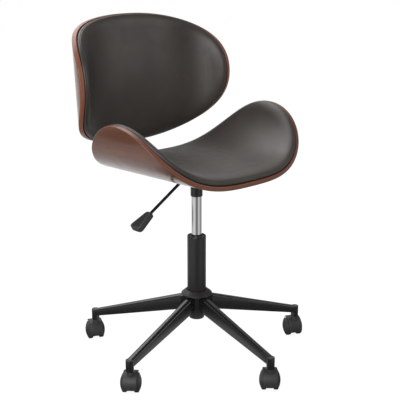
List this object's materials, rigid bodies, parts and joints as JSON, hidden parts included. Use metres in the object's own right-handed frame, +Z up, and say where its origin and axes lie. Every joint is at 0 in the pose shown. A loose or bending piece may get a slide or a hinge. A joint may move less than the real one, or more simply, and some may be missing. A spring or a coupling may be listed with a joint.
{
  "type": "office chair",
  "caption": "Height-adjustable swivel office chair with a bent plywood seat and back, leather pads, a gas lift and a five-legged base on twin-wheel casters.",
  "frame": {"origin": "on the floor, on the axis of the column", "axes": "+Z up along the column; the sitter faces -Y, so +X is at the sitter's left"},
  "size_m": [0.6172, 0.6125, 0.8949],
  "materials": {
    "walnut_ply": "clear lacquer, satin gloss",
    "inner_ply": "raw",
    "leather": "smooth, semi matt",
    "black_steel": "satin black powder coat",
    "chrome": "polished",
    "black_plastic": "fine texture",
    "wheel_nylon": "smooth moulded",
    "zinc_steel": "zinc plated",
    "bush_plastic": "smooth"
  },
  "bodies": {
    "base": {"base_hub": "black_steel", "base_collar": "black_plastic", "leg_1": "black_steel", "leg_2": "black_steel", "leg_3": "black_steel", "leg_4": "black_steel", "leg_5": "black_steel", "outer_tube": "black_steel", "guide_bush": "bush_plastic", "thrust_bearing": "zinc_steel"},
    "lift_rod": {"piston_rod": "zinc_steel", "piston": "zinc_steel", "rod_clip": "zinc_steel"},
    "seat": {"gas_cylinder": "chrome", "cylinder_gland": "bush_plastic", "cone_socket": "black_plastic", "mechanism_housing": "black_steel", "lever_pivot_pin": "zinc_steel", "seat_plate": "black_steel", "plate_bolts": "zinc_steel", "bracket_seat_bolts": "zinc_steel", "seat_tee_nuts": "zinc_steel", "seat_shell": "walnut_ply", "seat_panel": "inner_ply", "seat_pad": "leather", "back_bracket": "black_steel", "bracket_back_bolts": "zinc_steel", "back_tee_nuts": "zinc_steel", "back_shell": "walnut_ply", "back_panel": "inner_ply", "back_pad": "leather"},
    "lever": {"lever_rod": "black_steel", "lever_knob": "black_plastic"},
    "release_button": {"release_button": "black_plastic"},
    "caster_1": {"caster_hood_1": "black_plastic", "caster_stem_1": "zinc_steel", "caster_axle_1": "zinc_steel"},
    "wheel_1_left": {"wheel_1_left": "wheel_nylon"},
    "wheel_1_right": {"wheel_1_right": "wheel_nylon"},
    "caster_2": {"caster_hood_2": "black_plastic", "caster_stem_2": "zinc_steel", "caster_axle_2": "zinc_steel"},
    "wheel_2_left": {"wheel_2_left": "wheel_nylon"},
    "wheel_2_right": {"wheel_2_right": "wheel_nylon"},
    "caster_3": {"caster_hood_3": "black_plastic", "caster_stem_3": "zinc_steel", "caster_axle_3": "zinc_steel"},
    "wheel_3_left": {"wheel_3_left": "wheel_nylon"},
    "wheel_3_right": {"wheel_3_right": "wheel_nylon"},
    "caster_4": {"caster_hood_4": "black_plastic", "caster_stem_4": "zinc_steel", "caster_axle_4": "zinc_steel"},
    "wheel_4_left": {"wheel_4_left": "wheel_nylon"},
    "wheel_4_right": {"wheel_4_right": "wheel_nylon"},
    "caster_5": {"caster_hood_5": "black_plastic", "caster_stem_5": "zinc_steel", "caster_axle_5": "zinc_steel"},
    "wheel_5_left": {"wheel_5_left": "wheel_nylon"},
    "wheel_5_right": {"wheel_5_right": "wheel_nylon"}
  },
  "joints": [
    {"name": "seat_swivel", "type": "hinge", "parent": "base", "child": "lift_rod", "pos_m": [0, 0, 0.1157], "axis": [0, 0, 1], "continuous": true},
    {"name": "seat_height", "type": "slide", "parent": "lift_rod", "child": "seat", "axis": [0, 0, 1], "range_m": [-0.1, 0]},
    {"name": "lever_pull", "type": "hinge", "parent": "seat", "child": "lever", "pos_m": [-0.033, 0, 0.489], "axis": [0, 1, 0], "range_deg": [0, 6], "stiffness_Nm_per_rad": 1, "springref_deg": -11.46},
    {"name": "button_press", "type": "slide", "parent": "seat", "child": "release_button", "axis": [0, 0, -1], "range_m": [0, 0.0036]},
    {"name": "caster_swivel_1", "type": "hinge", "parent": "base", "child": "caster_1", "pos_m": [0.19328, 0.22234, 0.0725], "axis": [0, 0, 1], "continuous": true},
    {"name": "wheel_spin_1_left", "type": "hinge", "parent": "caster_1", "child": "wheel_1_left", "pos_m": [0.20074, 0.23261, 0.025], "axis": [0.809, -0.5878, 0], "continuous": true},
    {"name": "wheel_spin_1_right", "type": "hinge", "parent": "caster_1", "child": "wheel_1_right", "pos_m": [0.20074, 0.23261, 0.025], "axis": [0.809, -0.5878, 0], "continuous": true},
    {"name": "caster_swivel_2", "type": "hinge", "parent": "base", "child": "caster_2", "pos_m": [-0.15173, 0.25252, 0.0725], "axis": [0, 0, 1], "continuous": true},
    {"name": "wheel_spin_2_left", "type": "hinge", "parent": "caster_2", "child": "wheel_2_left", "pos_m": [-0.14657, 0.26412, 0.025], "axis": [0.9135, -0.4067, 0], "continuous": true},
    {"name": "wheel_spin_2_right", "type": "hinge", "parent": "caster_2", "child": "wheel_2_right", "pos_m": [-0.14657, 0.26412, 0.025], "axis": [0.9135, -0.4067, 0], "continuous": true},
    {"name": "caster_swivel_3", "type": "hinge", "parent": "base", "child": "caster_3", "pos_m": [-0.28705, -0.06627, 0.0725], "axis": [0, 0, 1], "continuous": true},
    {"name": "wheel_spin_3_left", "type": "hinge", "parent": "caster_3", "child": "wheel_3_left", "pos_m": [-0.27776, -0.05761, 0.025], "axis": [0.682, -0.7314, 0], "continuous": true},
    {"name": "wheel_spin_3_right", "type": "hinge", "parent": "caster_3", "child": "wheel_3_right", "pos_m": [-0.27776, -0.05761, 0.025], "axis": [0.682, -0.7314, 0], "continuous": true},
    {"name": "caster_swivel_4", "type": "hinge", "parent": "base", "child": "caster_4", "pos_m": [-0.02568, -0.29348, 0.0725], "axis": [0, 0, 1], "continuous": true},
    {"name": "wheel_spin_4_left", "type": "hinge", "parent": "caster_4", "child": "wheel_4_left", "pos_m": [-0.01693, -0.28427, 0.025], "axis": [0.7254, -0.6884, 0], "continuous": true},
    {"name": "wheel_spin_4_right", "type": "hinge", "parent": "caster_4", "child": "wheel_4_right", "pos_m": [-0.01693, -0.28427, 0.025], "axis": [0.7254, -0.6884, 0], "continuous": true},
    {"name": "caster_swivel_5", "type": "hinge", "parent": "base", "child": "caster_5", "pos_m": [0.27118, -0.11511, 0.0725], "axis": [0, 0, 1], "continuous": true},
    {"name": "wheel_spin_5_left", "type": "hinge", "parent": "caster_5", "child": "wheel_5_left", "pos_m": [0.27695, -0.10379, 0.025], "axis": [0.891, -0.454, 0], "continuous": true},
    {"name": "wheel_spin_5_right", "type": "hinge", "parent": "caster_5", "child": "wheel_5_right", "pos_m": [0.27695, -0.10379, 0.025], "axis": [0.891, -0.454, 0], "continuous": true}
  ],
  "couplings": [
    {"joint": "button_press", "follows": "lever_pull", "m_per_rad": 0.033}
  ]
}
